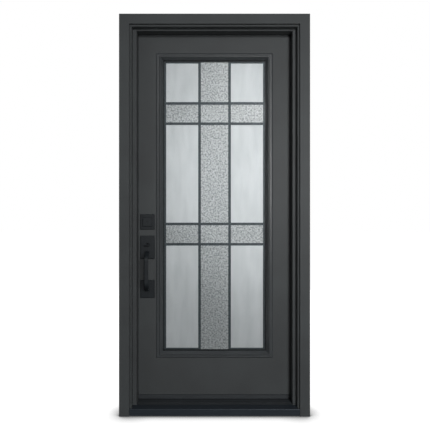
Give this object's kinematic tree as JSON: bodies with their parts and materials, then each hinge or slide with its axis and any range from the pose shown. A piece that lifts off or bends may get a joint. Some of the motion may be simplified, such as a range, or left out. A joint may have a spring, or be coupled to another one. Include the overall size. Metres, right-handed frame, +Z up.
{
  "type": "entry door",
  "caption": "Pre-hung steel entry door in its frame and sill, with a tall leaded glass panel, butt hinges, deadbolt and grip handle set.",
  "frame": {"origin": "on the floor under the sill, at the middle of the width, level with the jambs' front edges", "axes": "+X to the right seen from outside, +Y into the house, +Z up"},
  "size_m": [1.01, 0.2115, 2.129],
  "materials": {
    "slab_paint": "satin dark grey baked paint",
    "frame_paint": "painted satin dark grey",
    "moulding_paint": "painted satin dark grey",
    "sill_composite": "dark wood composite",
    "sill_aluminium": "dark anodised, satin",
    "threshold_plastic": "dark, matt",
    "seal_foam": "black skinned foam",
    "hinge_steel": "black plated",
    "screw_steel": "zinc plated",
    "core_timber": "bare pine",
    "core_foam": "rigid foam",
    "clear_glass": "clear",
    "satin_glass": "satin etched",
    "granite_glass": "rough rolled texture",
    "came_zinc": "dark patina",
    "spacer_metal": "satin",
    "lock_black": "satin black",
    "lock_steel": "zinc plated"
  },
  "bodies": {
    "frame": {"strike_jamb": "frame_paint", "hinge_jamb": "frame_paint", "head_jamb": "frame_paint", "casing_left": "frame_paint", "casing_right": "frame_paint", "casing_head": "frame_paint", "sill_base": "sill_composite", "sill_deck": "sill_aluminium", "threshold_cap": "threshold_plastic", "seal_strike_side": "seal_foam", "seal_hinge_side": "seal_foam", "seal_head": "seal_foam", "corner_pads": "seal_foam", "latch_strike": "lock_steel", "deadbolt_strike": "lock_steel", "strike_screws": "screw_steel", "hinge_top_frame_leaf": "hinge_steel", "hinge_middle_frame_leaf": "hinge_steel", "hinge_bottom_frame_leaf": "hinge_steel", "hinge_pins": "hinge_steel", "frame_hinge_screws": "screw_steel"},
    "door": {"exterior_skin": "slab_paint", "interior_skin": "slab_paint", "lock_stile": "core_timber", "hinge_stile": "core_timber", "top_rail": "core_timber", "bottom_rail": "core_timber", "lock_block": "core_timber", "foam_core": "core_foam", "lite_frame_exterior": "moulding_paint", "lite_frame_interior": "moulding_paint", "lite_frame_screws": "screw_steel", "outer_pane": "clear_glass", "inner_pane": "clear_glass", "spacers": "spacer_metal", "came_lattice": "came_zinc", "satin_panes": "satin_glass", "granite_panes": "granite_glass", "door_sweep": "threshold_plastic", "hinge_top_door_leaf": "hinge_steel", "hinge_middle_door_leaf": "hinge_steel", "hinge_bottom_door_leaf": "hinge_steel", "door_hinge_screws": "screw_steel", "deadbolt_plate": "lock_black", "deadbolt_rose": "lock_black", "deadbolt_case": "lock_steel", "handle_plate": "lock_black", "grip": "lock_black", "grip_plate": "lock_black", "grip_bolt": "lock_black", "lever_rose": "lock_black", "latch_case": "lock_steel", "faceplate_screws": "screw_steel", "lock_screws": "lock_black"},
    "inside_lever": {"lever": "lock_black"},
    "latch": {"latch_bolt": "lock_steel"},
    "thumb_latch": {"thumb_piece": "lock_black"},
    "inside_turn": {"thumb_turn": "lock_black"},
    "bolt": {"deadbolt": "lock_steel"},
    "plug": {"key_plug": "lock_black"}
  },
  "joints": [
    {"name": "door_swing", "type": "hinge", "parent": "frame", "child": "door", "pos_m": [0.43, 0.1225, 0], "axis": [0, 0, -1], "range_deg": [0, 110]},
    {"name": "lever_turn", "type": "hinge", "parent": "door", "child": "inside_lever", "pos_m": [-0.3682, 0.1145, 0.888], "axis": [0, 1, 0], "range_deg": [0, 50], "stiffness_Nm_per_rad": 1.2, "springref_deg": -28.65},
    {"name": "latch_slide", "type": "slide", "parent": "door", "child": "latch", "axis": [1, 0, 0], "range_m": [0, 0.012]},
    {"name": "thumb_press", "type": "hinge", "parent": "door", "child": "thumb_latch", "pos_m": [-0.3682, 0.0655, 0.902], "axis": [1, 0, 0], "range_deg": [0, 12]},
    {"name": "turn_lock", "type": "hinge", "parent": "door", "child": "inside_turn", "pos_m": [-0.3682, 0.1145, 1.0277], "axis": [0, 1, 0], "range_deg": [0, 90]},
    {"name": "bolt_slide", "type": "slide", "parent": "door", "child": "bolt", "axis": [-1, 0, 0], "range_m": [0, 0.0254]},
    {"name": "key_turn", "type": "hinge", "parent": "door", "child": "plug", "pos_m": [-0.3682, 0.06, 1.0277], "axis": [0, 1, 0], "range_deg": [-90, 90]}
  ],
  "couplings": [
    {"joint": "latch_slide", "follows": "lever_turn", "m_per_rad": 0.01375},
    {"joint": "thumb_press", "follows": "lever_turn", "ratio": 0.24},
    {"joint": "bolt_slide", "follows": "turn_lock", "m_per_rad": 0.01617}
  ]
}
